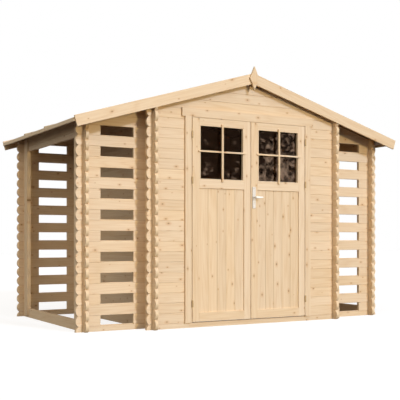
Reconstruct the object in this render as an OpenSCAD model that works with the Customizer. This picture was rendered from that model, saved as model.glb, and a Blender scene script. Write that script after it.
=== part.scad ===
/* [Logs] */
// Height of one log board, from joint to joint
log_pitch = 88; // [70:1:110]
// Thickness of a log board
log_t = 28; // [20:1:40]
// How far the rounded end of a log stands past the notch between two logs
end_rise = 24; // [12:1:36]
// Height of the tongue that shows along the bottom of each slot
tongue_h = 8; // [4:1:14]
// Thickness of that tongue
tongue_t = 9; // [5:1:14]
// Depth of the V where two boards meet
joint_v = 2.5; // [1:0.5:4]

/* [Cabin] */
// Width of the cabin between the outer faces of its side walls
cabin_w = 1958; // [1700:1:2300]
// Depth of the cabin between the outer faces of its front and rear walls
cabin_d = 1900; // [1500:10:2500]
// Log ends of the front and rear walls past the face of the wall they cross
end_x = 55; // [44:1:90]
// Log ends of the side walls past the face of the wall they cross
end_y = 62; // [50:1:80]

/* [Stores] */
// Width of each log store, from the cabin's side wall to the open side
store_w = 567; // [460:1:700]
// Log ends of the slotted walls past the open side
store_end = 66; // [44:1:90]
// How far the slotted walls stand back from the cabin's front and rear faces
store_setback = 136; // [100:1:250]
// Solid stretch of a slotted wall between the cabin and its slots
slot_start = 112; // [80:1:180]
// Length of a slot
slot_w = 302; // [200:1:340]
// Length of the corner logs inside the slotted walls
return_d = 50; // [36:1:100]
// Width of the post that covers the cut ends of the corner logs
post_w = 96; // [60:1:130]
// Thickness of that post
post_t = 36; // [28:1:50]
// How far the post stands out from the faces of the sill and the beam
post_proud = 14; // [6:1:24]
// Height of the post's foot above the ground, outside the sill
post_foot = 22; // [10:1:60]
// How far the post's head reaches up over the beam
post_lap = 66; // [20:1:74]
// Height of the half log under the beam of an open side
header_h = 44; // [30:1:70]

/* [Roof] */
// Pitch of the roof in degrees
roof_pitch = 16.5; // [12:0.5:20]
// Width of the roof over each store, from the cabin's side wall to the eave
roof_w = 718; // [600:1:1000]
// How far the roof deck reaches past the cabin's front and rear faces
roof_over = 46; // [36:1:120]
// Height of the roof deck's top at the ridge above the lining over the doorway
ridge_h = 391; // [320:1:600]
// Thickness of the roof deck
deck_t = 18; // [14:1:28]
// Clearance between the roof deck and what it lies on or carries
deck_clear = 0.1; // [0.05:0.05:0.3]
// Width of a barge board
barge_h = 90; // [70:1:130]
// Thickness of a barge board
barge_t = 18; // [14:1:28]
// How far a barge board stands above the deck
barge_rise = 15; // [0:1:24]
// Width of the diamond at the ridge
finial_w = 93; // [70:1:140]
// Height of the diamond
finial_h = 210; // [150:1:280]
// Thickness of the diamond
finial_t = 18; // [12:1:24]
// Height of the strip along an eave
eave_h = 29; // [24:1:60]
// Thickness of that strip
eave_t = 18; // [12:1:28]
// Width of a batten on the roof
batten_w = 40; // [25:1:60]
// Thickness of that batten
batten_t = 12; // [8:1:25]
// Width of the ridge beam
ridge_beam_w = 45; // [36:1:70]
// Height of the ridge beam
ridge_beam_h = 110; // [80:1:140]

/* [Doors] */
// Width of one door leaf
leaf_w = 600; // [520:1:660]
// Height of a door leaf
leaf_h = 1772; // [1600:1:1780]
// Thickness of a door leaf
leaf_t = 36; // [28:1:45]
// Running gap round a leaf
leaf_gap = 6; // [5:1:9]
// Width of a leaf's stiles
stile_w = 70; // [55:1:95]
// Height of a leaf's bottom rail
bottom_rail = 78; // [60:1:140]
// Height of the rail between panel and window
mid_rail = 84; // [60:1:120]
// Height of a leaf's top rail
top_rail = 68; // [55:1:110]
// Height of a window
window_h = 460; // [300:1:600]
// How much narrower a window is than the panel below it, on each side
window_in = 12; // [0:1:30]
// Thickness of the boards in a leaf's lower panel
panel_t = 16; // [10:1:22]
// Depth of the lower panel behind the leaf's face
panel_back = 10; // [4:1:14]
// Number of boards in a lower panel
panel_boards = 5; // [3:1:8]
// Thickness of the glass
glass_t = 4; // [3:1:6]
// Depth of the glass behind the leaf's face
glass_back = 26; // [8:1:28]
// Thickness of the trim boards round the doorway
trim_t = 18; // [12:1:24]
// Width by which the trim covers the logs beside the doorway
trim_cover = 42; // [25:1:70]
// Thickness of the lining in the doorway
lining_t = 20; // [15:1:30]
// Width of the lip that a closed leaf stops at
stop_w = 12; // [8:1:16]
// Thickness of that lip
stop_t = 12; // [8:1:18]
// Height of the trim board over the doorway
head_h = 72; // [50:1:100]
// How far the head trim reaches past the jamb trims
head_over = 30; // [0:1:60]

/* [Door fittings] */
// Height of a hinge
hinge_h = 60; // [50:1:100]
// Distance of a hinge flap from the leaf's rear face
flap_back = 8; // [4:1:14]
// Space between the two closed flaps of a hinge
flap_gap = 1; // [0.6:0.1:2]
// Radius of a hinge knuckle
knuckle_r = 7; // [6:0.5:10]
// Radius of a hinge pin
pin_r = 4; // [3:0.5:5]
// Clearance between the knuckles of a hinge, and between lever and plate
pin_gap = 0.3; // [0.2:0.05:0.5]
// Clearance round a hinge pin
pin_clear = 0.1; // [0.02:0.01:0.1]
// Height of the lowest hinge above the bottom of the leaf
hinge_low = 158; // [100:1:300]
// Distance of the middle hinge below the top of the leaf
hinge_mid = 546; // [400:1:900]
// Distance of the highest hinge below the top of the leaf
hinge_high = 150; // [100:1:300]
// Width of the handle's plate
plate_w = 33; // [26:1:44]
// Height of the handle's plate
plate_h = 192; // [140:1:240]
// Thickness of the handle's plate
plate_t = 6; // [4:1:10]
// Height of the plate's middle above the bottom of the leaf
plate_z = 1091; // [900:1:1180]
// Distance of the plate's middle from the leaf's free edge
plate_in = 29; // [22:1:40]
// Distance of the lever's axis from the middle of the plate
lever_up = 3; // [0:1:40]
// Length of the lever from its axis
lever_l = 64; // [55:1:130]
// Radius of the lever's bar
lever_r = 8; // [6:0.5:11]
// Distance of the lever's bar from the plate
lever_out = 38; // [30:1:48]
// Radius of the round part of the keyhole
key_r = 7; // [6:0.5:10]
// Width of the keyhole's slot
key_w = 8; // [6:0.5:12]
// Height of the keyhole
key_h = 26; // [22:1:38]
// Distance of the keyhole below the lever's axis
key_down = 72; // [60:1:92]

/* [Hidden] */
$fn = 64;
wood = "burlywood";
wood_edge = "tan";
wood_dark = "peru";
metal = "gainsboro";
end_r = (log_pitch * log_pitch / 4 + end_rise * end_rise) / (2 * end_rise);
side_x = cabin_w / 2;
store_x = side_x + store_w;
front_y = -cabin_d / 2;
rear_y = cabin_d / 2;
store_front_y = front_y + store_setback;
roof_x = side_x + roof_w;
roof_y = cabin_d / 2 + roof_over;
side_y = cabin_d / 2 + end_y;
deck_v = deck_t / cos(roof_pitch);
leaf_z = log_pitch / 2 + leaf_gap;
leaf_top = leaf_z + leaf_h;
head_z = leaf_top + leaf_gap;
gable_z = head_z + lining_t;
ridge_z = gable_z + ridge_h;
under_ridge = ridge_z - deck_v;
log_count = ceil(under_ridge / log_pitch) + 1;
beam_log = floor(under_roof(store_x) / log_pitch) - 1;
slot_rows = floor((beam_log - 1) / 2) + 1;
slot_x0 = side_x + slot_start;
slot_x1 = slot_x0 + slot_w;
sill_top = log_pitch;
beam_z = beam_log * log_pitch;
barge_top = ridge_z + barge_rise;
leaf_x = leaf_gap / 2;
door_x = leaf_x + leaf_w + leaf_gap;
door_cut = door_x + lining_t;
leaf_front = front_y - trim_t;
stop_y = leaf_front + leaf_t + leaf_gap;
window_z = leaf_h - top_rail - window_h;
panel_h = window_z - mid_rail - bottom_rail;
pin_x = door_x - leaf_gap / 2;
pin_y = leaf_front - knuckle_r - pin_gap;
flap_t = (leaf_gap - flap_gap) / 2;
handle_x = leaf_x + plate_in;
lever_z = leaf_z + plate_z + lever_up;
lever_y = leaf_front - plate_t - pin_gap;
batten_ys = [-cabin_d * 0.15, cabin_d * 0.15];

// Height of the roof deck's underside over a point beside the ridge
function under_roof(x) = under_ridge - abs(x) * tan(roof_pitch);

// Stands a drawing in x and z up as a wall that runs left to right
module across(y, t) {
    translate([0, y + t, 0]) rotate([90, 0, 0]) linear_extrude(t) children();
}

// Stands a drawing in y and z up as a wall that runs front to back
module along(x, t) {
    translate([x, 0, 0]) rotate([90, 0, 90]) linear_extrude(t) children();
}

module left_and_right() {
    children();
    mirror([1, 0, 0]) children();
}

module front_and_rear() {
    children();
    mirror([0, 1, 0]) children();
}

// The space below the roof deck, as a drawing in x and z
module gable_outline() {
    x = store_x + store_end;
    difference() {
        translate([0, -deck_clear])
            polygon([[-x, 0], [x, 0], [x, under_roof(x)], [0, under_ridge], [-x, under_roof(x)]]);
        left_and_right() eave_face();
    }
}

// Strip along the right eave, flush with the top of the deck, as a drawing in x and z
module eave_face() {
    x = roof_x - eave_t;
    z = under_roof(roof_x) + deck_v - eave_h;
    polygon([[x, z], [roof_x, z], [roof_x, under_roof(roof_x) + deck_v], [x, under_roof(x) + deck_v]]);
}

// Bar with a square section that stands on its edge, which cuts a V into both boards at a joint
module v_bar(size) {
    side = joint_v * sqrt(2);
    if (size.x > 0) rotate([45, 0, 0]) cube([size.x, side, side], center = true);
    if (size.y > 0) rotate([0, 45, 0]) cube([side, size.y, side], center = true);
    if (size.z > 0) rotate([0, 0, 45]) cube([side, side, size.z], center = true);
}

// Cuts the joints into both faces of a log wall that runs left to right
module jointed_across(y) {
    x = 2 * (store_x + store_end);
    difference() {
        children();
        for (k = [0 : log_count], face = [y, y + log_t])
            translate([0, face, (k + 0.5) * log_pitch]) v_bar([x, 0, 0]);
    }
}

// Cuts the joints into both faces of a log wall that runs front to back
module jointed_along(x) {
    difference() {
        children();
        for (k = [1 : log_count], face = [x, x + log_t])
            translate([face, 0, k * log_pitch]) v_bar([0, 2 * side_y, 0]);
    }
}

// Face of a stack of logs from a to b, with rounded ends where asked for.
// Logs of the front and rear walls lie half a log lower, which is phase 0, than those of the sides.
module log_face(a, b, z0, z1, phase, round_a, round_b) {
    intersection() {
        translate([a, z0]) square([b - a, z1 - z0]);
        union() {
            translate([a + (round_a ? end_rise : 0), z0])
                square([b - a - (round_a ? end_rise : 0) - (round_b ? end_rise : 0), z1 - z0]);
            for (k = [0 : log_count]) {
                if (round_a) translate([a + end_r, (k + phase) * log_pitch]) circle(end_r);
                if (round_b) translate([b - end_r, (k + phase) * log_pitch]) circle(end_r);
            }
        }
    }
}

// What the crossing logs take out of a stack where the two walls pass through each other
module crossing(at, phase) {
    for (k = [-1 : log_count])
        translate([at, (k + phase + 0.25) * log_pitch]) square([log_t, log_pitch / 2]);
}

module ridge_notch() {
    translate([-ridge_beam_w / 2, under_ridge - ridge_beam_h]) square([ridge_beam_w, ridge_beam_h]);
}

// Log wall beside the doorway, on the right of the middle
module front_wall_side() {
    color(wood) jointed_across(front_y) across(front_y, log_t) intersection() {
        gable_outline();
        difference() {
            log_face(door_cut, side_x + end_x, 0, under_ridge, 0, false, true);
            crossing(side_x - log_t, 0);
        }
    }
}

module front_gable() {
    color(wood) jointed_across(front_y) across(front_y, log_t) difference() {
        intersection() {
            gable_outline();
            translate([-door_cut, gable_z]) square([2 * door_cut, ridge_h]);
        }
        ridge_notch();
    }
}

module threshold_log() {
    color(wood) jointed_across(front_y)
        translate([-door_cut, front_y, 0]) cube([2 * door_cut, log_t, log_pitch / 2]);
}

module rear_wall() {
    color(wood) jointed_across(rear_y - log_t) across(rear_y - log_t, log_t) intersection() {
        gable_outline();
        difference() {
            log_face(-side_x - end_x, side_x + end_x, 0, under_ridge, 0, true, true);
            crossing(side_x - log_t, 0);
            crossing(-side_x, 0);
            ridge_notch();
        }
    }
}

// Side wall on the right, whose top logs end behind the barge boards
module side_wall() {
    barge_low = barge_top - side_x * tan(roof_pitch) - barge_h / cos(roof_pitch);
    color(wood) jointed_along(side_x - log_t) intersection() {
        along(side_x - log_t, log_t) difference() {
            log_face(-side_y, side_y, 0, under_ridge, 0.5, true, true);
            crossing(front_y, 0.5);
            crossing(rear_y - log_t, 0.5);
            left_and_right() translate([roof_y, barge_low]) square([end_y, under_ridge]);
        }
        across(-side_y, 2 * side_y) gable_outline();
    }
}

// Whole face of a slotted wall, on the right
module slotted_face() {
    intersection() {
        gable_outline();
        difference() {
            log_face(side_x, store_x + store_end, 0, under_ridge, 0, false, true);
            crossing(store_x - log_t, 0);
        }
    }
}

// Full-length boards of a slotted wall, the lowest one cut in half, with the tongues in its slots
module slats() {
    color(wood) {
        jointed_across(store_front_y) across(store_front_y, log_t) intersection() {
            slotted_face();
            for (i = [0 : slot_rows])
                translate([side_x, (2 * i - 0.5) * log_pitch])
                    square([store_w + store_end, i == slot_rows ? under_ridge : log_pitch]);
        }
        for (i = [0 : slot_rows - 1])
            translate([slot_x0, store_front_y + (log_t - tongue_t) / 2, (2 * i + 0.5) * log_pitch])
                cube([slot_w, tongue_t, tongue_h]);
    }
}

// Short logs at both ends of the slots
module blocks() {
    color(wood_edge) jointed_across(store_front_y) across(store_front_y, log_t) intersection() {
        slotted_face();
        for (i = [0 : slot_rows - 1]) {
            translate([side_x, (2 * i + 0.5) * log_pitch]) square([slot_start, log_pitch]);
            translate([slot_x1, (2 * i + 0.5) * log_pitch]) square([store_w + store_end, log_pitch]);
        }
    }
}

// Short logs that cross a slotted wall at the open side
module corner_logs() {
    color(wood_edge) jointed_along(store_x - log_t) along(store_x - log_t, log_t) difference() {
        log_face(store_front_y - end_y, store_front_y + log_t + return_d, sill_top, beam_z, 0.5,
            true, false);
        crossing(store_front_y, 0.5);
    }
}

// Log that runs the whole depth of an open side
module side_log(z0, z1) {
    jointed_along(store_x - log_t) along(store_x - log_t, log_t) difference() {
        log_face(store_front_y - end_y, -store_front_y + end_y, z0, z1, 0.5, true, true);
        crossing(store_front_y, 0.5);
        crossing(-store_front_y - log_t, 0.5);
    }
}

// Post over the cut ends of the corner logs, with an outer part that laps over the sill and the beam
module corner_posts() {
    color(wood_edge) left_and_right() front_and_rear()
        translate([store_x + post_proud - post_t, store_front_y + log_t + return_d, 0]) {
            translate([0, 0, sill_top]) cube([post_t, post_w, beam_z - sill_top]);
            translate([post_t - post_proud, 0, post_foot])
                cube([post_proud, post_w, beam_z + post_lap - post_foot]);
        }
}

module side_sills() {
    color(wood) left_and_right() side_log(0, sill_top);
}

module side_beams() {
    color(wood) left_and_right() intersection() {
        side_log(beam_z, under_ridge);
        across(-roof_y, 2 * roof_y) gable_outline();
    }
}

module header_rails() {
    rail_y = store_front_y + log_t + return_d + post_w;
    color(wood_edge) left_and_right() translate([store_x - log_t, rail_y, beam_z - header_h])
        cube([log_t, -2 * rail_y, header_h]);
}

// Beam that carries the ridge, let into both gables and flush with them
module ridge_beam() {
    color(wood_dark) across(front_y, cabin_d) intersection() {
        gable_outline();
        ridge_notch();
    }
}

// Layer of the roof on the right, from one height above the deck's underside to another
module roof_layer(low, high, x_end) {
    polygon([[0, under_ridge + low], [x_end, under_roof(x_end) + low],
        [x_end, under_roof(x_end) + high], [0, under_ridge + high]]);
}

module roof_deck() {
    color(wood_dark) across(-roof_y, 2 * roof_y) roof_layer(0, deck_v, roof_x - eave_t);
}

module roof_battens() {
    batten_v = batten_t / cos(roof_pitch);
    color(wood_edge) left_and_right() for (y = batten_ys)
        across(y - batten_w / 2, batten_w) difference() {
            roof_layer(deck_v + deck_clear, deck_v + deck_clear + batten_v, roof_x);
            translate([0, under_ridge]) square([batten_w, 2 * finial_h], center = true);
        }
}

module eave_strips() {
    color(wood) left_and_right() across(-roof_y, 2 * roof_y) eave_face();
}

// Barge board on the right slope, mitred at the ridge and cut square at the eave
module barge_face() {
    eave_z = barge_top - roof_x * tan(roof_pitch);
    polygon([[0, barge_top], [roof_x, eave_z],
        [roof_x - barge_h * sin(roof_pitch), eave_z - barge_h * cos(roof_pitch)],
        [0, barge_top - barge_h / cos(roof_pitch)]]);
}

module barge_boards() {
    color(wood) front_and_rear() across(-roof_y - barge_t, barge_t) barge_face();
}

module finials() {
    middle = barge_top - barge_h / cos(roof_pitch) / 2;
    color(wood) front_and_rear() across(-roof_y - barge_t - finial_t, finial_t)
        polygon([[0, middle - finial_h / 2], [finial_w / 2, middle], [0, middle + finial_h / 2],
            [-finial_w / 2, middle]]);
}

// Section through the trim, lining and stop of the doorway, from the opening outwards
module frame_section(cover) {
    translate([0, leaf_front]) square([lining_t + cover, trim_t]);
    translate([0, leaf_front]) square([lining_t, stop_y + stop_t - leaf_front]);
    translate([-stop_w, stop_y]) square([stop_w + lining_t, stop_t]);
}

module door_jambs() {
    color(wood) left_and_right() translate([door_x, 0, log_pitch / 2])
        linear_extrude(head_z - log_pitch / 2) frame_section(trim_cover);
}

module door_head() {
    trim_x = door_cut + trim_cover + head_over;
    color(wood) {
        translate([-trim_x, leaf_front, head_z]) cube([2 * trim_x, trim_t, head_h]);
        translate([-door_cut, leaf_front, head_z])
            cube([2 * door_cut, stop_y + stop_t - leaf_front, lining_t]);
        translate([-door_x + stop_w, stop_y, head_z - stop_w])
            cube([2 * (door_x - stop_w), stop_t, stop_w + lining_t]);
    }
}

// Opening in a leaf, from a height above its bottom and a distance inside the stiles
module leaf_opening(z, h, inset) {
    translate([leaf_x + stile_w + inset, leaf_z + z]) square([leaf_w - 2 * stile_w - 2 * inset, h]);
}

module leaf_frame() {
    color(wood) across(leaf_front, leaf_t) difference() {
        translate([leaf_x, leaf_z]) square([leaf_w, leaf_h]);
        leaf_opening(bottom_rail, panel_h, 0);
        leaf_opening(window_z, window_h, window_in);
    }
}

module leaf_panel() {
    board_w = (leaf_w - 2 * stile_w) / panel_boards;
    panel_y = leaf_front + panel_back;
    color(wood) difference() {
        across(panel_y, panel_t) leaf_opening(bottom_rail, panel_h, 0);
        for (i = [1 : panel_boards - 1], face = [panel_y, panel_y + panel_t])
            translate([leaf_x + stile_w + i * board_w, face, leaf_z + bottom_rail + panel_h / 2])
                v_bar([0, 0, 2 * panel_h]);
    }
}

module leaf_glass() {
    color("slategray") across(leaf_front + glass_back, glass_t) leaf_opening(window_z, window_h, window_in);
}

// Middle heights of the hinges on a leaf
module at_hinges() {
    for (z = [hinge_low, leaf_h - hinge_mid, leaf_h - hinge_high])
        translate([pin_x, 0, leaf_z + z]) children();
}

// Flap in the gap beside a leaf, from one side of the pin, with the web to its half of the knuckle
module hinge_flap(x, web_z) {
    web_y = pin_y + (knuckle_r + pin_r) / 2;
    translate([x, leaf_front, -hinge_h / 2]) cube([flap_t, leaf_t - flap_back, hinge_h]);
    translate([x, web_y, web_z]) cube([flap_t, leaf_front - web_y, hinge_h / 2 - pin_gap]);
}

// Flap on the jamb, which carries the lower knuckle and the pin
module jamb_hinges() {
    color(metal) left_and_right() at_hinges() {
        hinge_flap(flap_gap / 2, -hinge_h / 2);
        translate([0, pin_y, -hinge_h / 2]) cylinder(r = knuckle_r, h = hinge_h / 2 - pin_gap);
        translate([0, pin_y, -hinge_h / 2]) cylinder(r = pin_r, h = hinge_h);
    }
}

// Flap on the leaf, which carries the upper knuckle
module leaf_hinges() {
    color(metal) at_hinges() difference() {
        union() {
            hinge_flap(-flap_gap / 2 - flap_t, pin_gap);
            translate([0, pin_y, pin_gap]) cylinder(r = knuckle_r, h = hinge_h / 2 - pin_gap);
        }
        translate([0, pin_y, 0]) cylinder(r = pin_r + pin_clear, h = hinge_h);
    }
}

// Keyhole for a cylinder lock, as a drawing in x and z from its top
module keyhole() {
    translate([0, -key_r]) circle(key_r);
    translate([0, key_w / 2 - key_h]) circle(key_w / 2);
    translate([-key_w / 2, key_w / 2 - key_h]) square([key_w, key_h - key_w / 2 - key_r]);
}

module handle_plate() {
    corner_r = plate_w / 6;
    color(metal) across(leaf_front - plate_t, plate_t)
        translate([handle_x, leaf_z + plate_z]) difference() {
            union() {
                square([plate_w - 2 * corner_r, plate_h], center = true);
                square([plate_w, plate_h - 2 * corner_r], center = true);
                for (x = [-1, 1], z = [-1, 1])
                    translate([x * (plate_w / 2 - corner_r), z * (plate_h / 2 - corner_r)])
                        circle(corner_r);
            }
            translate([0, lever_up + key_r - key_down]) keyhole();
        }
}

// Bent bar on a round neck, which turns on the plate
module handle_lever() {
    color(metal) translate([handle_x, lever_y, lever_z]) {
        rotate([90, 0, 0]) cylinder(r = lever_r, h = lever_out);
        translate([0, -lever_out, 0]) {
            sphere(lever_r);
            rotate([0, 90, 0]) cylinder(r = lever_r, h = lever_l);
            translate([lever_l, 0, 0]) sphere(lever_r);
        }
    }
}

mirror([1, 0, 0]) front_wall_side();  // front_wall_left
front_wall_side();  // front_wall_right
front_gable();
threshold_log();
rear_wall();
mirror([1, 0, 0]) side_wall();  // left_side_wall
side_wall();  // right_side_wall
mirror([1, 0, 0]) slats();  // front_left_slats
mirror([1, 0, 0]) blocks();  // front_left_blocks
slats();  // front_right_slats
blocks();  // front_right_blocks
mirror([0, 1, 0]) mirror([1, 0, 0]) slats();  // rear_left_slats
mirror([0, 1, 0]) mirror([1, 0, 0]) blocks();  // rear_left_blocks
mirror([0, 1, 0]) slats();  // rear_right_slats
mirror([0, 1, 0]) blocks();  // rear_right_blocks
mirror([1, 0, 0]) corner_logs();  // front_left_corner_logs
corner_logs();  // front_right_corner_logs
mirror([0, 1, 0]) mirror([1, 0, 0]) corner_logs();  // rear_left_corner_logs
mirror([0, 1, 0]) corner_logs();  // rear_right_corner_logs
corner_posts();
side_sills();
side_beams();
header_rails();
ridge_beam();
mirror([1, 0, 0]) roof_deck();  // roof_deck_left
roof_deck();  // roof_deck_right
roof_battens();
eave_strips();
mirror([1, 0, 0]) barge_boards();  // barge_boards_left
barge_boards();  // barge_boards_right
finials();
door_jambs();
door_head();
mirror([1, 0, 0]) leaf_frame();  // left_leaf_frame
mirror([1, 0, 0]) leaf_panel();  // left_leaf_panel
mirror([1, 0, 0]) leaf_glass();  // left_leaf_glass
leaf_frame();  // right_leaf_frame
leaf_panel();  // right_leaf_panel
leaf_glass();  // right_leaf_glass
jamb_hinges();
mirror([1, 0, 0]) leaf_hinges();  // left_leaf_hinges
leaf_hinges();  // right_leaf_hinges
handle_plate();
handle_lever();
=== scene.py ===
import math

import bmesh
import bpy
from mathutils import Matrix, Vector


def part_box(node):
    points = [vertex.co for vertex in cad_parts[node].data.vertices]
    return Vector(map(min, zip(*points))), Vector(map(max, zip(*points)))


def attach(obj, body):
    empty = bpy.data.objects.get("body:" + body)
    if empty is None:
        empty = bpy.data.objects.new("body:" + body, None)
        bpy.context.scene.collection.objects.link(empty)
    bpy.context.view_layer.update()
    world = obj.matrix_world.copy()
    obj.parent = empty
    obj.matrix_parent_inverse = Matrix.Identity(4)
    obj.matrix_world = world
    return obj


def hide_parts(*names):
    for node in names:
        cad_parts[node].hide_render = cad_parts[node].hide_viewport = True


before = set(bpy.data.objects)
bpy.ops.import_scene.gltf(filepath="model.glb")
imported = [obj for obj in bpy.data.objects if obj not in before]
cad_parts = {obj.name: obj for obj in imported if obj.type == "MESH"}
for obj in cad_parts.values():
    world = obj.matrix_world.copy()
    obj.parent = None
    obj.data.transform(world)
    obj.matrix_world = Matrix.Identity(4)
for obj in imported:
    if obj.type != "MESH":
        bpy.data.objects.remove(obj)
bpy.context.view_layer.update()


# Log walls
# The cabin and the slotted walls of its stores are stacks of planed spruce logs with a tongue and a
# groove. The logs cross at the corners, where each is notched and its rounded end stands past the wall.

X, Y, Z = 0, 1, 2
LOG_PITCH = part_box("side_sills")[1].z
FRONT_JOINT = LOG_PITCH / 2
SIDE_JOINT = 0.0
JOINT_SHADE = 0.0024
JOINT_COLOUR = "#94703F"
JOINT_FIELD_BAND = (0.3, 0.7)
JOINT_STRENGTH = (0.15, 0.6)
SPRUCE_PALE = "#EBD4B4"
SPRUCE_RIPE = "#D8B68A"
SPRUCE_END = "#E2C79F"
SPRUCE_ROUGHNESS = (0.52, 0.74)
SPRUCE_IOR = 1.45
# Streaks of fibre are about a millimetre wide; they are drawn six times as wide, so that they show
FIBRE_WIDTH = 0.0060
FIBRE_STRETCH = 0.02
FIBRE_BAND = (0.36, 0.74)
FIBRE_STRENGTH = 0.50
FIBRE_RELIEF = 0.25
FIBRE_RELIEF_HEIGHT = 0.0006
# Year rings in a flat-sawn log face lie 6 to 30 mm apart; they are drawn near the wide end, so that
# they show
RING_FIELD = 0.085
RINGS_IN_FIELD = 7.0
RING_STRETCH = 0.07
RING_BAND = (0.45, 1.0)
RING_STRENGTH = 0.26
KNOT_SPACING = 0.102
KNOT_RADIUS = 0.0100
KNOT_STRETCH = 0.60
KNOT_FREE_SHARE = 0.28
KNOT_HALO_REACH = 2.4
KNOT_HALO_COLOUR = "#CFA06A"
KNOT_HALO_STRENGTH = 0.38
KNOT_HEART_COLOUR = "#8E6540"
KNOT_HEART_STRENGTH = 0.85
BOARD_TONE = (0.96, 1.03)
BOARD_WARMTH = (0.94, 1.06)
BOARD_SEEDS = 97.0
BOARD_SHIFT = 9.0
END_GRAIN_FACING = 0.3
END_GRAIN_STRENGTH = 0.85
PAINTED_SHADE_FACING = -0.5


def linear(code):
    channels = [int(code[i : i + 2], 16) / 255 for i in (1, 3, 5)]
    return [c / 12.92 if c <= 0.04045 else ((c + 0.055) / 1.055) ** 2.4 for c in channels] + [1.0]


def add(tree, kind, links=None, **settings):
    node = tree.nodes.new(kind)
    for key, value in settings.items():
        setattr(node, key, value)
    for socket, source in (links or {}).items():
        if isinstance(source, bpy.types.NodeSocket):
            tree.links.new(source, node.inputs[socket])
        else:
            node.inputs[socket].default_value = source
    return node


def new_material(name):
    material = bpy.data.materials.new(name)
    material.use_nodes = True
    return material, material.node_tree, material.node_tree.nodes["Principled BSDF"]


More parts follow.
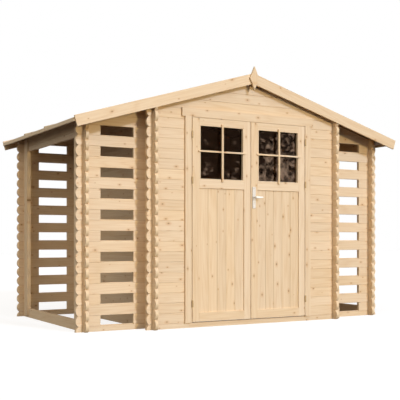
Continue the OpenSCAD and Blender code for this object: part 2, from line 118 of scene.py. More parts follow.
# Planed spruce: pale cream early wood, honey late wood in long uneven rings, small brown knots and
# darker end grain. The fibres run along one axis, and each board has its own grain and its own tone.
# Courses give the pitch and the start of boards in one solid, and islands those in one mesh.
def planed_spruce(
    name,
    grain,
    face,
    courses=None,
    islands=False,
    tilt=0.0,
    pale=SPRUCE_PALE,
    ripe=SPRUCE_RIPE,
    end=SPRUCE_END,
    painted_underside_shade=None,
):
    material, tree, surface = new_material(name)
    texture = add(tree, "ShaderNodeTexCoord")
    place = texture.outputs["Object"]
    if tilt:
        levelled = add(
            tree, "ShaderNodeVectorRotate", {"Vector": place, "Angle": tilt}, rotation_type="Y_AXIS"
        )
        place = levelled.outputs["Vector"]
    axes = add(tree, "ShaderNodeSeparateXYZ", {"Vector": place}).outputs

    # Each board's own number, from which its place in the grain and its tone follow
    if islands:
        own = add(tree, "ShaderNodeNewGeometry").outputs["Random Per Island"]
    else:
        own = add(tree, "ShaderNodeObjectInfo").outputs["Random"]
    seed = add(tree, "ShaderNodeMath", {0: own, 1: BOARD_SEEDS}, operation="MULTIPLY").outputs[0]
    if courses:
        pitch, start = courses
        height = add(
            tree,
            "ShaderNodeMath",
            {0: axes[face], 1: 1 / pitch, 2: -start / pitch},
            operation="MULTIPLY_ADD",
        ).outputs[0]
        course = add(tree, "ShaderNodeMath", {0: height}, operation="FLOOR").outputs[0]
        seed = add(tree, "ShaderNodeMath", {0: seed, 1: course}, operation="ADD").outputs[0]
    chance = add(tree, "ShaderNodeTexWhiteNoise", {"W": seed}, noise_dimensions="1D")
    moved = add(
        tree,
        "ShaderNodeVectorMath",
        {0: chance.outputs["Color"], 1: (BOARD_SHIFT, BOARD_SHIFT, BOARD_SHIFT), 2: place},
        operation="MULTIPLY_ADD",
    ).outputs[0]

    # Fibre and year rings
    stretch = [1.0, 1.0, 1.0]
    stretch[grain] = FIBRE_STRETCH
    drawn = add(tree, "ShaderNodeVectorMath", {0: moved, 1: stretch}, operation="MULTIPLY").outputs[0]
    fibre = add(
        tree,
        "ShaderNodeTexNoise",
        {"Vector": drawn, "Scale": 1 / FIBRE_WIDTH, "Detail": 3.0, "Roughness": 0.6},
    ).outputs["Fac"]
    stretch[grain] = RING_STRETCH
    laid = add(tree, "ShaderNodeVectorMath", {0: moved, 1: stretch}, operation="MULTIPLY").outputs[0]
    field = add(
        tree, "ShaderNodeTexNoise", {"Vector": laid, "Scale": 1 / RING_FIELD, "Detail": 1.0}
    ).outputs["Fac"]
    count = add(tree, "ShaderNodeMath", {0: field, 1: RINGS_IN_FIELD * 2}, operation="MULTIPLY").outputs[0]
    rings = add(tree, "ShaderNodeMath", {0: count, 1: 1.0}, operation="PINGPONG").outputs[0]
    late = add(
        tree,
        "ShaderNodeMapRange",
        {"Value": rings, "From Min": RING_BAND[0], "From Max": RING_BAND[1], "To Max": RING_STRENGTH},
    ).outputs[0]
    streak = add(
        tree,
        "ShaderNodeMapRange",
        {"Value": fibre, "From Min": FIBRE_BAND[0], "From Max": FIBRE_BAND[1], "To Max": FIBRE_STRENGTH},
    ).outputs[0]
    strength = add(tree, "ShaderNodeMath", {0: late, 1: streak}, operation="ADD", use_clamp=True).outputs[0]
    wood = add(
        tree,
        "ShaderNodeMix",
        {"Factor": strength, "A": linear(pale), "B": linear(ripe)},
        data_type="RGBA",
    ).outputs["Result"]

    # Tone of the board
    level = add(
        tree,
        "ShaderNodeMapRange",
        {"Value": chance.outputs["Value"], "To Min": BOARD_TONE[0], "To Max": BOARD_TONE[1]},
    ).outputs[0]
    warmth = add(tree, "ShaderNodeSeparateColor", {"Color": chance.outputs["Color"]}).outputs["Green"]
    rich = add(
        tree,
        "ShaderNodeMapRange",
        {"Value": warmth, "To Min": BOARD_WARMTH[0], "To Max": BOARD_WARMTH[1]},
    ).outputs[0]
    toned = add(
        tree, "ShaderNodeHueSaturation", {"Color": wood, "Value": level, "Saturation": rich}
    ).outputs[0]

    # Knots, each a dark heart in a warm halo
    moved_axes = add(tree, "ShaderNodeSeparateXYZ", {"Vector": moved}).outputs
    drawn_out = add(
        tree, "ShaderNodeMath", {0: moved_axes[grain], 1: KNOT_STRETCH}, operation="MULTIPLY"
    ).outputs[0]
    flat = add(tree, "ShaderNodeCombineXYZ", {"X": drawn_out, "Y": moved_axes[face]}).outputs[0]
    branch = add(
        tree,
        "ShaderNodeTexVoronoi",
        {"Vector": flat, "Scale": 1 / KNOT_SPACING},
        voronoi_dimensions="2D",
    ).outputs
    bud = add(tree, "ShaderNodeSeparateColor", {"Color": branch["Color"]}).outputs["Red"]
    radius = add(
        tree,
        "ShaderNodeMapRange",
        {"Value": bud, "From Min": KNOT_FREE_SHARE, "To Min": 0.0, "To Max": KNOT_RADIUS / KNOT_SPACING},
    ).outputs[0]
    reach = add(tree, "ShaderNodeMath", {0: radius, 1: KNOT_HALO_REACH}, operation="MULTIPLY").outputs[0]
    halo = add(
        tree,
        "ShaderNodeMapRange",
        {
            "Value": branch["Distance"],
            "From Min": radius,
            "From Max": reach,
            "To Min": KNOT_HALO_STRENGTH,
            "To Max": 0.0,
        },
    ).outputs[0]
    heart = add(
        tree,
        "ShaderNodeMapRange",
        {
            "Value": branch["Distance"],
            "From Min": 0.0,
            "From Max": radius,
            "To Min": KNOT_HEART_STRENGTH,
            "To Max": 0.0,
        },
        interpolation_type="SMOOTHSTEP",
    ).outputs[0]
    ringed = add(
        tree,
        "ShaderNodeMix",
        {"Factor": halo, "A": toned, "B": linear(KNOT_HALO_COLOUR)},
        data_type="RGBA",
    ).outputs["Result"]
    knotted = add(
        tree,
        "ShaderNodeMix",
        {"Factor": heart, "A": ringed, "B": linear(KNOT_HEART_COLOUR)},
        data_type="RGBA",
    ).outputs["Result"]

    # Cut ends, painted shade on undersides and the shade in the joints between courses
    normal = add(tree, "ShaderNodeSeparateXYZ", {"Vector": texture.outputs["Normal"]}).outputs
    cut = add(
        tree, "ShaderNodeMath", {0: normal[grain], 1: normal[grain]}, operation="MULTIPLY"
    ).outputs[0]
    ended = add(
        tree,
        "ShaderNodeMapRange",
        {"Value": cut, "From Min": END_GRAIN_FACING, "To Max": END_GRAIN_STRENGTH},
    ).outputs[0]
    colour = add(
        tree,
        "ShaderNodeMix",
        {"Factor": ended, "A": knotted, "B": linear(end)},
        data_type="RGBA",
    ).outputs["Result"]
    # Faces that look down are multiplied darker: painted shade, for the shade under the eaves.
    if painted_underside_shade:
        shaded_underside = add(
            tree, "ShaderNodeMath", {0: normal[Z], 1: PAINTED_SHADE_FACING}, operation="LESS_THAN"
        ).outputs[0]
        colour = add(
            tree,
            "ShaderNodeMix",
            {"Factor": shaded_underside, "A": colour, "B": linear(painted_underside_shade)},
            data_type="RGBA",
            blend_type="MULTIPLY",
        ).outputs["Result"]
    if courses:
        phase = add(tree, "ShaderNodeMath", {0: height}, operation="FRACT").outputs[0]
        centred = add(tree, "ShaderNodeMath", {0: phase, 1: 0.5}, operation="SUBTRACT").outputs[0]
        away = add(tree, "ShaderNodeMath", {0: centred}, operation="ABSOLUTE").outputs[0]
        edge = 0.5 - JOINT_SHADE / pitch
        open_joint = add(
            tree,
            "ShaderNodeMapRange",
            {
                "Value": field,
                "From Min": JOINT_FIELD_BAND[0],
                "From Max": JOINT_FIELD_BAND[1],
                "To Min": JOINT_STRENGTH[0],
                "To Max": JOINT_STRENGTH[1],
            },
        ).outputs[0]
        joint = add(
            tree,
            "ShaderNodeMapRange",
            {"Value": away, "From Min": edge, "From Max": 0.5, "To Max": open_joint},
        ).outputs[0]
        colour = add(
            tree,
            "ShaderNodeMix",
            {"Factor": joint, "A": colour, "B": linear(JOINT_COLOUR)},
            data_type="RGBA",
        ).outputs["Result"]
    tree.links.new(colour, surface.inputs["Base Color"])

    dry = add(
        tree,
        "ShaderNodeMapRange",
        {"Value": fibre, "To Min": SPRUCE_ROUGHNESS[0], "To Max": SPRUCE_ROUGHNESS[1]},
    ).outputs[0]
    tree.links.new(dry, surface.inputs["Roughness"])
    relief = add(
        tree,
        "ShaderNodeBump",
        {"Height": fibre, "Strength": FIBRE_RELIEF, "Distance": FIBRE_RELIEF_HEIGHT},
    ).outputs[0]
    tree.links.new(relief, surface.inputs["Normal"])
    surface.inputs["IOR"].default_value = SPRUCE_IOR
    return material


def finish_node(name, material):
    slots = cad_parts[name].data.materials
    slots.clear()
    slots.append(material)


across_logs = planed_spruce("planed_spruce_front_logs", X, Z, courses=(LOG_PITCH, FRONT_JOINT))
along_logs = planed_spruce("planed_spruce_side_logs", Y, Z, courses=(LOG_PITCH, SIDE_JOINT), end="#E6CDA8")
for name in ("front_wall_left", "front_wall_right", "front_gable", "threshold_log", "rear_wall"):
    finish_node(name, across_logs)
for name in ("left_side_wall", "right_side_wall"):
    finish_node(name, along_logs)
for end in ("front", "rear"):
    for side in ("left", "right"):
        finish_node(f"{end}_{side}_slats", across_logs)
        finish_node(f"{end}_{side}_blocks", across_logs)
        finish_node(f"{end}_{side}_corner_logs", along_logs)


# Frames of the open sides
# Sill and top log run the whole depth of a store and cross its slotted walls as the other logs do.
# A planed post covers the cut ends of the corner logs, and a half log stiffens the top log.

# The top logs are darker than the other logs: painted shade, for the shade under the eaves.
painted_shade_beam_logs = planed_spruce(
    "planed_spruce_side_beams",
    Y,
    Z,
    courses=(LOG_PITCH, SIDE_JOINT),
    pale="#D9BC92",
    ripe="#C29A68",
    end="#D9BC92",
)
upright = planed_spruce("planed_spruce_posts", Z, Y)
finish_node("side_sills", along_logs)
finish_node("side_beams", painted_shade_beam_logs)
finish_node("header_rails", along_logs)
finish_node("corner_posts", upright)


# Roof boards
# The roof is closed with boards, tongue and groove, which run from the ridge to the eaves. Their long
# edges are eased, so a V shows at each joint, and the undersides are darker: painted shade under the eaves.

BOARD_COUNT = 22
BOARD_EASE = 0.0022
EASE_SEGMENTS = 2
JOINT_GAP = 0.0002
ROOF_PITCH = math.radians(16.5)
FALL = math.tan(ROOF_PITCH)
SLOPES = (("left", -1), ("right", 1))


# Joins planks into one mesh, each a closed box between two corners with eased edges.
# A fall lowers the plank by that share of its distance from the ridge.
def planks(name, corners, ease, material, body, fall=0.0):
    mesh = bmesh.new()
    for low, high in corners:
        verts = bmesh.ops.create_cube(mesh, size=1.0)["verts"]
        for v in verts:
            share = v.co + Vector((0.5, 0.5, 0.5))
            v.co = Vector(low[i] + share[i] * (high[i] - low[i]) for i in range(3))
            v.co.z -= fall * abs(v.co.x)
        edges = list({e for v in verts for e in v.link_edges})
        bmesh.ops.bevel(
            mesh,
            geom=edges,
            offset=ease,
            segments=EASE_SEGMENTS,
            profile=0.5,
            affect="EDGES",
            clamp_overlap=True,
        )
    return piece_from(name, mesh, material, body)


def piece_from(name, mesh, material, body):
    bmesh.ops.recalc_face_normals(mesh, faces=mesh.faces)
    data = bpy.data.meshes.new(name)
    mesh.to_mesh(data)
    mesh.free()
    data.materials.append(material)
    piece = bpy.data.objects.new(name, data)
    bpy.context.scene.collection.objects.link(piece)
    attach(piece, body)
    return piece


for side, away in SLOPES:
    node = f"roof_deck_{side}"
    low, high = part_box(node)
    under_ridge = low.z + max(abs(low.x), abs(high.x)) * FALL
    pitch = (high.y - low.y) / BOARD_COUNT
    corners = []
    for i in range(BOARD_COUNT):
        front = low.y + i * pitch
        corners.append(
            (
                (low.x, front + JOINT_GAP, under_ridge),
                (high.x, front + pitch - JOINT_GAP, high.z),
            )
        )
    # The boards' tone, darker than the walls', is partly painted shade for the soffit; their undersides are
    # darker still.
    boards = planed_spruce(
        f"planed_spruce_roof_boards_{side}",
        X,
        Y,
        islands=True,
        tilt=-away * ROOF_PITCH,
        pale="#D3B48C",
        ripe="#BC9566",
        painted_underside_shade="#9C8468",
    )
    deck = planks(f"roof_boards_{side}", corners, BOARD_EASE, boards, "building", fall=FALL)
    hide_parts(node)


# Roof trim
# Barge boards close both gables and meet under a sawn diamond; strips run along the eaves, two battens
# over each slope, and the ridge beam carries the boards. All are planed spruce and are nailed on.

for side, away in SLOPES:
    sloped = planed_spruce(f"planed_spruce_barge_{side}", X, Z, tilt=-away * ROOF_PITCH)
    finish_node(f"barge_boards_{side}", sloped)
level_trim = planed_spruce("planed_spruce_eaves", Y, Z, pale="#E6D3B5", ripe="#D4BA92")
for name in ("eave_strips", "ridge_beam"):
    finish_node(name, level_trim)
finish_node("roof_battens", planed_spruce("planed_spruce_battens", X, Y, pale="#C9B590", ripe="#AE9872"))
finish_node("finials", upright)


# Door frame
# Jambs and head are planed spruce: a lining in the doorway, a trim board on the face of the logs, and a
# lip that the closed leaves stop at. A thin lath nailed under the head closes most of the gap over them.

LATH_SET_BACK = 0.0010
LATH_DEPTH = 0.012
LATH_CLEAR = 0.0022
LATH_EASE = 0.0004

finish_node("door_jambs", planed_spruce("planed_spruce_jambs", Z, X))
head_wood = planed_spruce("planed_spruce_head", X, Z)
finish_node("door_head", head_wood)
left_leaf, right_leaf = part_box("left_leaf_frame"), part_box("right_leaf_frame")
lath_front = left_leaf[0].y + LATH_SET_BACK
lath = (
    (left_leaf[0].x, lath_front, left_leaf[1].z + LATH_CLEAR),
    (right_leaf[1].x, lath_front + LATH_DEPTH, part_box("door_jambs")[1].z),
)
planks("head_lath", [lath], LATH_EASE, head_wood, "building")


# Door leaves
# Each leaf is a frame of two stiles and three rails. Five upright boards with V joints close it below,
# and above them beads hold a pane from the inside. Two thin strips on the frame cross before the pane.

FRAME_EASE = 0.0012
PANEL_BOARDS = 5
BEAD_WIDTH = 0.009
BAR_WIDTH = 0.018
BAR_HEIGHT = 0.015
BAR_PROUD = 0.015
LEVEL_BAR_PROUD = BAR_PROUD * 0.85
BAR_PAST = 0.024
BAR_LIFT = 0.009
BAR_EASE = 0.0020

stile_wood = planed_spruce("planed_spruce_stiles", Z, X, islands=True)
rail_wood = planed_spruce("planed_spruce_rails", X, Z, islands=True)


# A mitred ring of moulding round an opening in x and z, from a section of (inwards, depth) points.
def mitred_ring(mesh, x0, x1, z0, z1, section):
    rings = []
    for inwards, depth in section:
        ring = [
            mesh.verts.new((x0 + inwards, depth, z0 + inwards)),
            mesh.verts.new((x1 - inwards, depth, z0 + inwards)),
            mesh.verts.new((x1 - inwards, depth, z1 - inwards)),
            mesh.verts.new((x0 + inwards, depth, z1 - inwards)),
        ]
        rings.append(ring)
    for a, b in zip(rings, rings[1:] + rings[:1]):
        for i in range(4):
            j = (i + 1) % 4
            mesh.faces.new((a[i], a[j], b[j], b[i]))


for side in ("left", "right"):
    body = f"{side}_door"
    low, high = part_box(f"{side}_leaf_frame")
    panel_low, panel_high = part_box(f"{side}_leaf_panel")
    glass_low, glass_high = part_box(f"{side}_leaf_glass")

    stiles = planks(
        f"{side}_leaf_stiles",
        [
            ((low.x, low.y, low.z), (panel_low.x, high.y, high.z)),
            ((panel_high.x, low.y, low.z), (high.x, high.y, high.z)),
            ((panel_low.x, low.y, glass_low.z), (glass_low.x, high.y, glass_high.z)),
            ((glass_high.x, low.y, glass_low.z), (panel_high.x, high.y, glass_high.z)),
        ],
        FRAME_EASE,
        stile_wood,
        body,
    )
    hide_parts(f"{side}_leaf_frame")
    rails = [(low.z, panel_low.z), (panel_high.z, glass_low.z), (glass_high.z, high.z)]
    planks(
        f"{side}_leaf_rails",
        [((panel_low.x, low.y, bottom), (panel_high.x, high.y, top)) for bottom, top in rails],
        FRAME_EASE,
        rail_wood,
        body,
    )

    width = (panel_high.x - panel_low.x) / PANEL_BOARDS
    panel_wood = planed_spruce(f"planed_spruce_panel_{side}", Z, X, courses=(width, panel_low.x))
    finish_node(f"{side}_leaf_panel", panel_wood)

    beads = bmesh.new()
    section = [
        (0.0, glass_high.y),
        (BEAD_WIDTH, glass_high.y),
        (BEAD_WIDTH / 2, high.y),
        (0.0, high.y),
    ]
    mitred_ring(beads, glass_low.x, glass_high.x, glass_low.z, glass_high.z, section)
    piece_from(f"{side}_glazing_beads", beads, rail_wood, body)

    middle_x = (glass_low.x + glass_high.x) / 2
    middle_z = (glass_low.z + glass_high.z) / 2 + BAR_LIFT
    bar_left, bar_right = middle_x - BAR_WIDTH / 2, middle_x + BAR_WIDTH / 2
    upright_bar = (
        (bar_left, low.y - BAR_PROUD, glass_low.z - BAR_PAST),
        (bar_right, low.y, glass_high.z + BAR_PAST),
    )
    planks(f"{side}_upright_bar", [upright_bar], BAR_EASE, stile_wood, body)
    level_bars = [
        (
            (left, low.y - LEVEL_BAR_PROUD, middle_z - BAR_HEIGHT / 2),
            (right, low.y, middle_z + BAR_HEIGHT / 2),
        )
        for left, right in ((glass_low.x - BAR_PAST, bar_left), (bar_right, glass_high.x + BAR_PAST))
    ]
    planks(f"{side}_level_bar", level_bars, BAR_EASE, rail_wood, body)


# Door panes
# Each leaf has one pane of clear float glass, which lies in the rebate of its frame. The room behind it
# is unlit, so the pane shows dark brown, with a warm reflection painted on it in uneven patches.

GLASS_COLOUR = "#93877A"
PAINTED_REFLECTION_TINT = "#6E4A30"
GLASS_ROUGHNESS = 0.05
GLASS_IOR = 1.5
PAINTED_REFLECTION_SIZE = 0.060
PAINTED_REFLECTION_ACROSS = (-0.2, 0.3)
PAINTED_REFLECTION_ACROSS_GAIN = 0.16
PAINTED_REFLECTION_DOWN_GAIN = 0.05
PAINTED_REFLECTION_BAND = (0.60, 0.88)
PAINTED_REFLECTION_STRENGTH = 0.31
PAINTED_REFLECTION_COLOUR = "#F0CDB0"
PAINTED_REFLECTION_ROUGHNESS = 0.08

# Float glass: smooth and clear, with painted reflection: its own tinted brown, and a warm one in uneven
# patches, more on the right and low down.
pane_glass, tree, surface = new_material("float_glass")
surface.inputs["Base Color"].default_value = linear(GLASS_COLOUR)
surface.inputs["Roughness"].default_value = GLASS_ROUGHNESS
surface.inputs["IOR"].default_value = GLASS_IOR
surface.inputs["Transmission Weight"].default_value = 1.0
# The brown tint on the pane's own reflection is painted reflection.
surface.inputs["Specular Tint"].default_value = linear(PAINTED_REFLECTION_TINT)
pane_place = add(tree, "ShaderNodeTexCoord").outputs["Object"]
cloud = add(
    tree,
    "ShaderNodeTexNoise",
    {"Vector": pane_place, "Scale": 1 / PAINTED_REFLECTION_SIZE, "Detail": 6.0, "Roughness": 0.62, "Distortion": 0.5},
).outputs["Fac"]
pane_axes = add(tree, "ShaderNodeSeparateXYZ", {"Vector": pane_place}).outputs
aside = add(
    tree,
    "ShaderNodeMapRange",
    {
        "Value": pane_axes[X],
        "From Min": PAINTED_REFLECTION_ACROSS[0],
        "From Max": PAINTED_REFLECTION_ACROSS[1],
        "To Max": PAINTED_REFLECTION_ACROSS_GAIN,
    },
).outputs[0]
pane_low, pane_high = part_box("left_leaf_glass")
lower = add(
    tree,
    "ShaderNodeMapRange",
    {
        "Value": pane_axes[Z],
        "From Min": pane_high.z,
        "From Max": pane_low.z,
        "To Min": -PAINTED_REFLECTION_DOWN_GAIN,
        "To Max": PAINTED_REFLECTION_DOWN_GAIN,
    },
).outputs[0]
leaning = add(tree, "ShaderNodeMath", {0: aside, 1: lower}, operation="ADD").outputs[0]
painted_reflection_field = add(tree, "ShaderNodeMath", {0: cloud, 1: leaning}, operation="ADD").outputs[0]
painted_reflection_share = add(
    tree,
    "ShaderNodeMapRange",
    {"Value": painted_reflection_field, "From Min": PAINTED_REFLECTION_BAND[0], "From Max": PAINTED_REFLECTION_BAND[1], "To Max": PAINTED_REFLECTION_STRENGTH},
).outputs[0]
painted_reflection = add(tree, "ShaderNodeBsdfGlossy", {"Color": linear(PAINTED_REFLECTION_COLOUR), "Roughness": PAINTED_REFLECTION_ROUGHNESS})
glass_with_painted_reflection = add(tree, "ShaderNodeMixShader", {0: painted_reflection_share, 1: surface.outputs[0], 2: painted_reflection.outputs[0]})
tree.links.new(glass_with_painted_reflection.outputs[0], tree.nodes["Material Output"].inputs["Surface"])
for name in ("left_leaf_glass", "right_leaf_glass"):
    finish_node(name, pane_glass)


# Hinges
# Three butt hinges carry each leaf. Their flaps lie in the gap beside the leaf, so only the rolled
# knuckles show. They are pressed steel, plated with zinc.

PLATING_MOTTLE = 0.012
PLATING_BRIGHT = "#BDA67E"
PLATING_DULL = "#9A8058"
PLATING_ROUGHNESS = (0.35, 0.55)

# Zinc plating: satin and slightly yellow, with soft cloudy patches that are duller and rougher.
zinc, tree, surface = new_material("zinc_plated_steel")
surface.inputs["Metallic"].default_value = 1.0
plate_place = add(tree, "ShaderNodeTexCoord").outputs["Object"]
plating = add(
    tree, "ShaderNodeTexNoise", {"Vector": plate_place, "Scale": 1 / PLATING_MOTTLE, "Detail": 3.0}
).outputs["Fac"]
tint = add(
    tree,
    "ShaderNodeMix",
    {"Factor": plating, "A": linear(PLATING_BRIGHT), "B": linear(PLATING_DULL)},
    data_type="RGBA",
)
tree.links.new(tint.outputs["Result"], surface.inputs["Base Color"])
worn = add(
    tree,
    "ShaderNodeMapRange",
    {"Value": plating, "To Min": PLATING_ROUGHNESS[0], "To Max": PLATING_ROUGHNESS[1]},
)
tree.links.new(worn.outputs[0], surface.inputs["Roughness"])
for name in ("jamb_hinges", "left_leaf_hinges", "right_leaf_hinges"):
    finish_node(name, zinc)


# Handle
# A long plate with a keyhole is screwed to the right leaf, and a lever with a round neck turns on it.
# Both are aluminium: the plate is brushed along its length; the lever is cast, and its paler colour is a
# painted highlight.

# Brushed lines are about a tenth of a millimetre wide; they are drawn wider, so that they show
BRUSH_WIDTH = 0.0008
BRUSH_LENGTH = 0.05
SATIN_ROUGHNESS = (0.50, 0.65)


# Satin metal: pale grey, with fine bright and dull lines along the axis that it was brushed or drawn on.
def satin_metal(name, brushed, bright, dull):
    material, tree, surface = new_material(name)
    surface.inputs["Metallic"].default_value = 1.0
    squeeze = [1.0, 1.0, 1.0]
    squeeze[brushed] = BRUSH_WIDTH / BRUSH_LENGTH
    place = add(tree, "ShaderNodeTexCoord").outputs["Object"]
    lines = add(tree, "ShaderNodeMapping", {"Vector": place, "Scale": squeeze}).outputs[0]
    brush = add(
        tree, "ShaderNodeTexNoise", {"Vector": lines, "Scale": 1 / BRUSH_WIDTH, "Detail": 2.0}
    ).outputs["Fac"]
    shade = add(
        tree, "ShaderNodeMix", {"Factor": brush, "A": linear(bright), "B": linear(dull)}, data_type="RGBA"
    )
    tree.links.new(shade.outputs["Result"], surface.inputs["Base Color"])
    satin = add(
        tree,
        "ShaderNodeMapRange",
        {"Value": brush, "To Min": SATIN_ROUGHNESS[0], "To Max": SATIN_ROUGHNESS[1]},
    )
    tree.links.new(satin.outputs[0], surface.inputs["Roughness"])
    return material


finish_node("handle_plate", satin_metal("brushed_aluminium", Z, "#BFBBB5", "#ABA7A1"))
# The lever's paler colour is a painted highlight.
finish_node("handle_lever", satin_metal("cast_aluminium_painted_highlight", X, "#F2EEE8", "#E2DDD6"))


# Screws and lock of the handle
# Two oval-head wood screws with a crossed recess hold the plate; they are zinc-plated steel. A cylinder
# lock of nickel-plated brass fills the keyhole, and a round plug with the slot for the key turns in it.

SCREW_RADIUS = 0.0036
SCREW_PROUD = 0.0009
SCREW_HEIGHTS = (-0.045, 0.085)
# Rings of the oval head, each with its share of the radius and of the height
SCREW_DOME = ((0.8, 0.75), (0.55, 1.0))
RECESS_REACH = 0.0017
RECESS_WAIST = 0.0005
RECESS_DEPTH = 0.0007
LOCK_HEIGHT = -0.069
LOCK_RADIUS = 0.0067
LOCK_FOOT_RADIUS = 0.0037
LOCK_FOOT_DROP = 0.015
# First and last angle and number of points of the two arcs that draw the lock
LOCK_ARC = (-56, 236, 18)
LOCK_FOOT_ARC = (180, 372, 9)
LOCK_PROUD = 0.0012
LOCK_EASE = 0.0003
PLUG_RADIUS = 0.0049
PLUG_PROUD = 0.0021
KEY_SLOT = (0.0006, 0.0030)
KEY_SLOT_FIELD = PLUG_RADIUS * 0.9
TURNED_SIDES = 16

plate_low, plate_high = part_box("handle_plate")
plate_middle = (plate_low + plate_high) / 2
plate_thick = plate_high.y - plate_low.y


def arc(radius, first, last, steps, drop=0.0):
    angles = [math.radians(first + (last - first) * i / steps) for i in range(steps)]
    return [(radius * math.cos(a), radius * math.sin(a) - drop) for a in angles]


def turned(radius):
    return arc(radius, 0, 360, TURNED_SIDES)


def lock_outline(ease):
    round_part = arc(LOCK_RADIUS - ease, *LOCK_ARC)
    return round_part + arc(LOCK_FOOT_RADIUS - ease, *LOCK_FOOT_ARC, LOCK_FOOT_DROP)


# Closes a stack of rings of (x, z) points, each at its own height over the face of the plate.
def ring_stack(mesh, height, rings):
    loops = []
    for points, proud in rings:
        place = Vector((plate_middle.x, plate_low.y - proud, plate_middle.z + height))
        loops.append([mesh.verts.new(place + Vector((x, 0.0, z))) for x, z in points])
    for inner, outer in zip(loops, loops[1:]):
        for i in range(len(inner)):
            j = (i + 1) % len(inner)
            mesh.faces.new((inner[i], inner[j], outer[j], outer[i]))
    mesh.faces.new(loops[0])
    mesh.faces.new(loops[-1])


reaches = (RECESS_REACH, 2 * RECESS_WAIST, RECESS_WAIST, 2 * RECESS_WAIST)
cross = [(x * reaches[i % 4], z * reaches[i % 4]) for i, (x, z) in enumerate(turned(1.0))]
screw_head = [(turned(SCREW_RADIUS), -RECESS_DEPTH), (turned(SCREW_RADIUS), 0.0)]
screw_head += [(turned(SCREW_RADIUS * across), SCREW_PROUD * up) for across, up in SCREW_DOME]
screw_head += [(cross, SCREW_PROUD), (cross, SCREW_PROUD - RECESS_DEPTH)]
screws = bmesh.new()
for height in SCREW_HEIGHTS:
    ring_stack(screws, height, screw_head)
piece_from("plate_screws", screws, zinc, "right_door")

slot_w, slot_h = KEY_SLOT
key_slot = [
    (max(-slot_w, min(slot_w, x)), max(-slot_h, min(slot_h, z))) for x, z in turned(KEY_SLOT_FIELD)
]
lock = bmesh.new()
ring_stack(
    lock,
    LOCK_HEIGHT,
    [
        (lock_outline(0.0), -plate_thick),
        (lock_outline(0.0), LOCK_PROUD - LOCK_EASE),
        (lock_outline(LOCK_EASE), LOCK_PROUD),
    ],
)
ring_stack(
    lock,
    LOCK_HEIGHT,
    [
        (turned(PLUG_RADIUS), LOCK_PROUD - LOCK_EASE),
        (turned(PLUG_RADIUS), PLUG_PROUD - LOCK_EASE),
        (turned(PLUG_RADIUS - LOCK_EASE), PLUG_PROUD),
        (key_slot, PLUG_PROUD),
        (key_slot, LOCK_PROUD + LOCK_EASE),
    ],
)
nickel = satin_metal("nickel_plated_brass", X, "#CFCBC4", "#B9B4AC")
piece_from("lock_cylinder", lock, nickel, "right_door")


# Studio
# A plain white floor and background, a level lamp from the front right, a second one higher up, and a
# soft fill that is stronger from the upper left.

FLOOR_SIZE = 60.0
FLOOR_DROP = 0.0005
FLOOR_GLOW = 0.80
FLOOR_SHOWN = "#9A9A9A"
FLOOR_BOUNCE = "#2A241E"
KEY_LAMP_TRAVEL = Vector((-0.25, 1.0, -0.06))
KEY_LAMP_STRENGTH = 1.05
KEY_LAMP_COLOUR = "#FFE5B0"
TOP_LAMP_TRAVEL = Vector((-0.33, 1.0, -0.52))
TOP_LAMP_STRENGTH = 1.66
TOP_LAMP_COLOUR = "#CDE0FF"
LAMP_SPREAD = math.radians(6.0)
FILL_COLOUR = "#FFF4E4"
FILL_FROM = (-0.54, -0.62, 0.52)
FILL_ROUND = 0.38
FILL_FRONT = 1.00
FILL_SPREAD = 2.5

ground = bmesh.new()
bmesh.ops.create_grid(ground, x_segments=1, y_segments=1, size=FLOOR_SIZE / 2)
floor_data = bpy.data.meshes.new("floor")
ground.to_mesh(floor_data)
ground.free()
floor = bpy.data.objects.new("floor", floor_data)
floor.location.z = -FLOOR_DROP
bpy.context.scene.collection.objects.link(floor)


# Rays from the camera, and those that mirror or pass through, see the white studio; other rays see
# its light.
def seen_directly(tree):
    path = add(tree, "ShaderNodeLightPath").outputs
    either = add(
        tree, "ShaderNodeMath", {0: path["Is Camera Ray"], 1: path["Is Glossy Ray"]}, operation="MAXIMUM"
    ).outputs[0]
    return add(
        tree, "ShaderNodeMath", {0: either, 1: path["Is Transmission Ray"]}, operation="MAXIMUM"
    ).outputs[0]


white_floor, tree, surface = new_material("studio_floor")
tree.nodes.remove(surface)
pale_floor = add(tree, "ShaderNodeBsdfDiffuse", {"Color": linear(FLOOR_SHOWN)})
glow = add(tree, "ShaderNodeEmission", {"Strength": FLOOR_GLOW})
shown = add(tree, "ShaderNodeAddShader", {0: pale_floor.outputs[0], 1: glow.outputs[0]})
dim_floor = add(tree, "ShaderNodeBsdfDiffuse", {"Color": linear(FLOOR_BOUNCE)})
floor_mix = add(
    tree, "ShaderNodeMixShader", {0: seen_directly(tree), 1: dim_floor.outputs[0], 2: shown.outputs[0]}
)
tree.links.new(floor_mix.outputs[0], tree.nodes["Material Output"].inputs["Surface"])
floor_data.materials.append(white_floor)

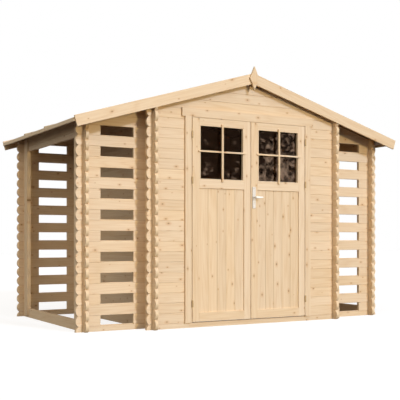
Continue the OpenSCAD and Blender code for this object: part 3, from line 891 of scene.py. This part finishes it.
world = bpy.data.worlds.new("studio")
world.use_nodes = True
bpy.context.scene.world = world
tree = world.node_tree
fill = tree.nodes["Background"]
fill.inputs["Color"].default_value = linear(FILL_COLOUR)
heading = add(tree, "ShaderNodeTexCoord").outputs["Generated"]
ahead = add(tree, "ShaderNodeVectorMath", {0: heading, 1: FILL_FROM}, operation="DOT_PRODUCT")
before = add(tree, "ShaderNodeMath", {0: ahead.outputs["Value"], 1: 0.0}, operation="MAXIMUM")
fall_off = add(tree, "ShaderNodeMath", {0: before.outputs[0], 1: FILL_SPREAD}, operation="POWER")
level = add(
    tree,
    "ShaderNodeMath",
    {0: fall_off.outputs[0], 1: FILL_FRONT, 2: FILL_ROUND},
    operation="MULTIPLY_ADD",
)
tree.links.new(level.outputs[0], fill.inputs["Strength"])
backdrop = add(tree, "ShaderNodeBackground", {"Color": linear("#FFFFFF"), "Strength": 1.0})
both = add(tree, "ShaderNodeMixShader", {0: seen_directly(tree), 1: fill.outputs[0], 2: backdrop.outputs[0]})
tree.links.new(both.outputs[0], tree.nodes["World Output"].inputs["Surface"])

for name, travel, strength, colour in (
    ("key", KEY_LAMP_TRAVEL, KEY_LAMP_STRENGTH, KEY_LAMP_COLOUR),
    ("top", TOP_LAMP_TRAVEL, TOP_LAMP_STRENGTH, TOP_LAMP_COLOUR),
):
    lamp = bpy.data.lights.new(f"{name}_lamp", "SUN")
    lamp.energy = strength
    lamp.color = linear(colour)[:3]
    lamp.angle = LAMP_SPREAD
    shining = bpy.data.objects.new(f"{name}_lamp", lamp)
    shining.rotation_euler = travel.to_track_quat("-Z", "Y").to_euler()
    bpy.context.scene.collection.objects.link(shining)
bpy.context.scene.view_settings.view_transform = "Standard"


# Camera
# It stands to the front left of the cabin at hip height and looks level to the right, as the photograph
# does.

CAMERA_PLACE = (-3.982, -7.041, 0.767)
CAMERA_YAW = math.radians(-29.63)
CAMERA_LENS = 72.37
CAMERA_SENSOR = 36.0
CAMERA_RISE = 0.0978

view = bpy.data.cameras.new("camera")
view.lens = CAMERA_LENS
view.sensor_width = CAMERA_SENSOR
view.shift_y = CAMERA_RISE
camera = bpy.data.objects.new("camera", view)
camera.location = CAMERA_PLACE
camera.rotation_euler = (math.radians(90), 0.0, CAMERA_YAW)
bpy.context.scene.collection.objects.link(camera)
bpy.context.scene.camera = camera
